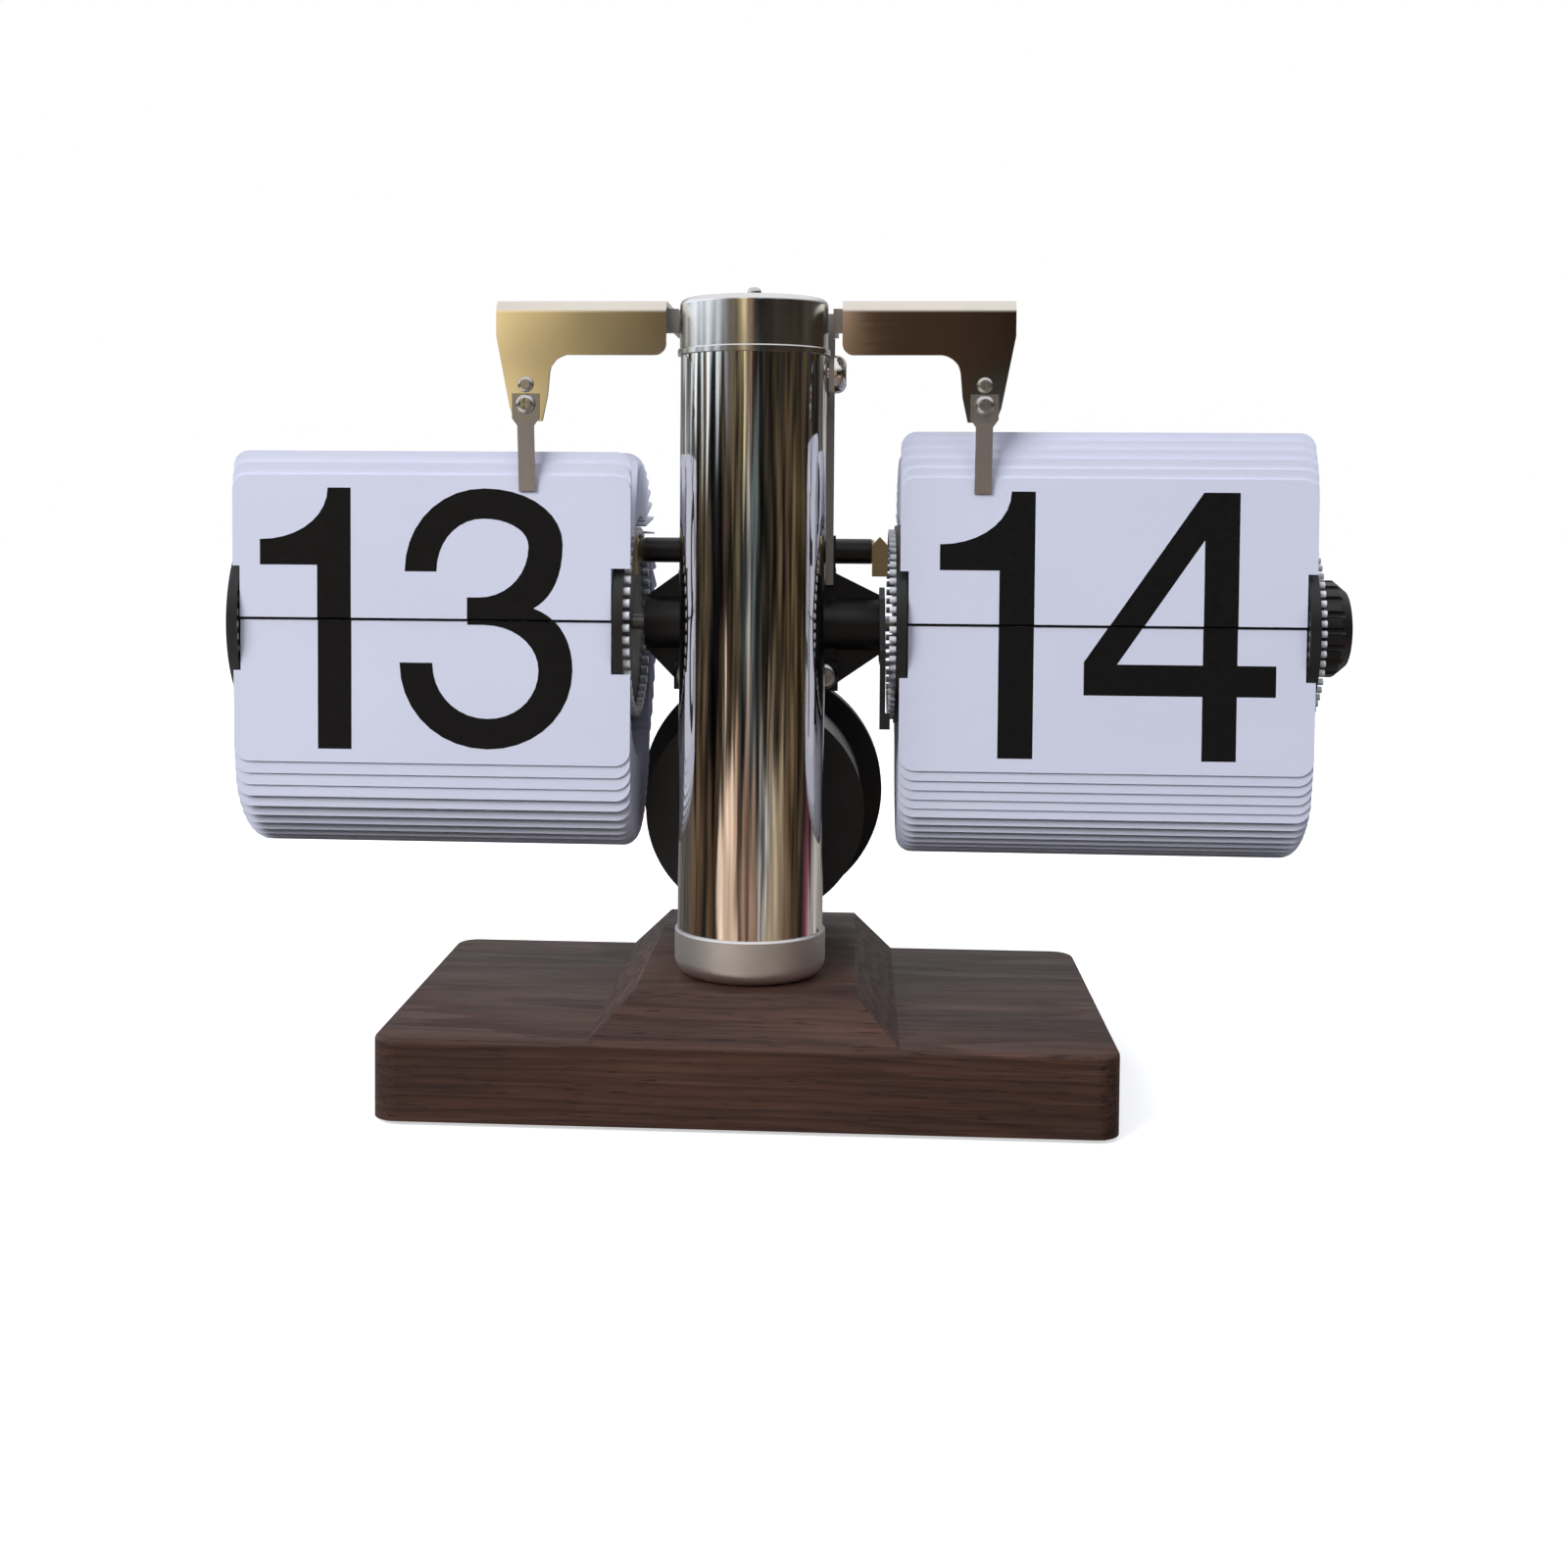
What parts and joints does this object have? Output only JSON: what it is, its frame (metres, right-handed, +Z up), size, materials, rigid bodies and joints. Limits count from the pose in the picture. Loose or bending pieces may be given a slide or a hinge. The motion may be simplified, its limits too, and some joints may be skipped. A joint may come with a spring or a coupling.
{
  "type": "flip number clock",
  "caption": "Flip number clock: hour and minute drums of hinged cards beside a chrome battery column on a wooden base.",
  "frame": {"origin": "on the table, under the middle of the wooden base", "axes": "+X to the clock's right seen from the front, +Y to the back, +Z up"},
  "size_m": [0.2178, 0.08, 0.1528],
  "materials": {
    "walnut": "satin oiled",
    "felt": "matt",
    "screw_steel": "bright",
    "satin_chrome": "satin",
    "mirror_chrome": "mirror polished",
    "arm_steel": "polished sheet",
    "strap_steel": "zinc plated",
    "black_plastic": "satin moulded",
    "cell_label": "gloss sleeve",
    "brass": "aged",
    "card_white": "smooth sheet",
    "tab_white": "moulded",
    "gear_nylon": "moulded",
    "can_steel": "drawn sheet",
    "copper": "enamelled winding",
    "board": "solder mask"
  },
  "bodies": {
    "clock": {"wood_base": "walnut", "base_pad": "felt", "base_screws": "screw_steel", "bottom_cap": "satin_chrome", "column_tube": "mirror_chrome", "battery_shelf": "black_plastic", "battery": "cell_label", "contact_spring": "strap_steel", "arm_left": "arm_steel", "arm_right": "arm_steel", "finger_left": "strap_steel", "finger_right": "strap_steel", "finger_screws": "screw_steel", "finger_rivets": "screw_steel", "strap_left": "strap_steel", "strap_right": "strap_steel", "rear_spine": "strap_steel", "spine_screws": "screw_steel", "column_side_screw": "mirror_chrome", "frame_left": "black_plastic", "frame_right": "black_plastic", "frame_floor": "black_plastic", "frame_cover": "black_plastic", "frame_pillars": "screw_steel", "column_saddle": "black_plastic", "frame_screws": "screw_steel", "detent_bar": "black_plastic", "click_spring_left": "brass", "click_spring_right": "brass", "card_guard": "black_plastic", "hour_cards_upper": "card_white", "hour_cards_lower": "card_white", "minute_cards_upper": "card_white", "minute_cards_lower": "card_white", "motor_cover": "black_plastic", "motor_can": "can_steel", "motor_coil": "copper", "circuit_board": "board", "motor_housing": "black_plastic"},
    "cap": {"top_cap": "satin_chrome", "cap_screw": "screw_steel", "cap_contact": "brass"},
    "hour_drum": {"hour_disc_inner": "black_plastic", "hour_disc_outer": "black_plastic", "hour_pivot_tabs": "tab_white", "hour_axle": "screw_steel", "hour_wheel": "gear_nylon"},
    "minute_drum": {"minute_disc_inner": "black_plastic", "minute_disc_outer": "black_plastic", "minute_pivot_tabs": "tab_white", "minute_axle": "screw_steel", "minute_gear": "gear_nylon", "setting_knob": "black_plastic"},
    "lay_gear": {"lay_wheel": "gear_nylon", "lay_arbor": "screw_steel"},
    "drive": {"drive_shaft": "gear_nylon"},
    "rotor": {"motor_rotor": "can_steel"},
    "hour_card": {"hour_card_front": "card_white"},
    "minute_card": {"minute_card_front": "card_white"}
  },
  "joints": [
    {"name": "minute_drum_turn", "type": "hinge", "parent": "clock", "child": "minute_drum", "pos_m": [0.03, 0.0052, 0.0885], "axis": [1, 0, 0], "continuous": true},
    {"name": "hour_drum_turn", "type": "hinge", "parent": "clock", "child": "hour_drum", "pos_m": [-0.03, 0.0052, 0.0885], "axis": [1, 0, 0], "continuous": true},
    {"name": "lay_gear_turn", "type": "hinge", "parent": "clock", "child": "lay_gear", "pos_m": [0, 0.0136, 0.0885], "axis": [1, 0, 0], "continuous": true},
    {"name": "drive_shaft_turn", "type": "hinge", "parent": "clock", "child": "drive", "pos_m": [0, 0.0052, 0.07], "axis": [0, 0, 1], "continuous": true},
    {"name": "rotor_turn", "type": "hinge", "parent": "clock", "child": "rotor", "pos_m": [0, 0.02, 0.0515], "axis": [0, 1, 0], "continuous": true},
    {"name": "cap_lift", "type": "slide", "parent": "clock", "child": "cap", "axis": [0, 0, 1], "range_m": [0, 0.02]},
    {"name": "hour_card_fall", "type": "hinge", "parent": "clock", "child": "hour_card", "pos_m": [-0.062, -0.01285, 0.09069], "axis": [1, 0, 0], "range_deg": [0, 174], "deforming": ["finger_left"]},
    {"name": "minute_card_fall", "type": "hinge", "parent": "clock", "child": "minute_card", "pos_m": [0.067, -0.01285, 0.09045], "axis": [1, 0, 0], "range_deg": [0, 174], "deforming": ["finger_right"]}
  ],
  "couplings": [
    {"joint": "hour_drum_turn", "follows": "minute_drum_turn", "ratio": 0.041667},
    {"joint": "lay_gear_turn", "follows": "minute_drum_turn", "ratio": -0.25},
    {"joint": "drive_shaft_turn", "follows": "minute_drum_turn", "ratio": 3},
    {"joint": "rotor_turn", "follows": "minute_drum_turn", "ratio": -6}
  ]
}
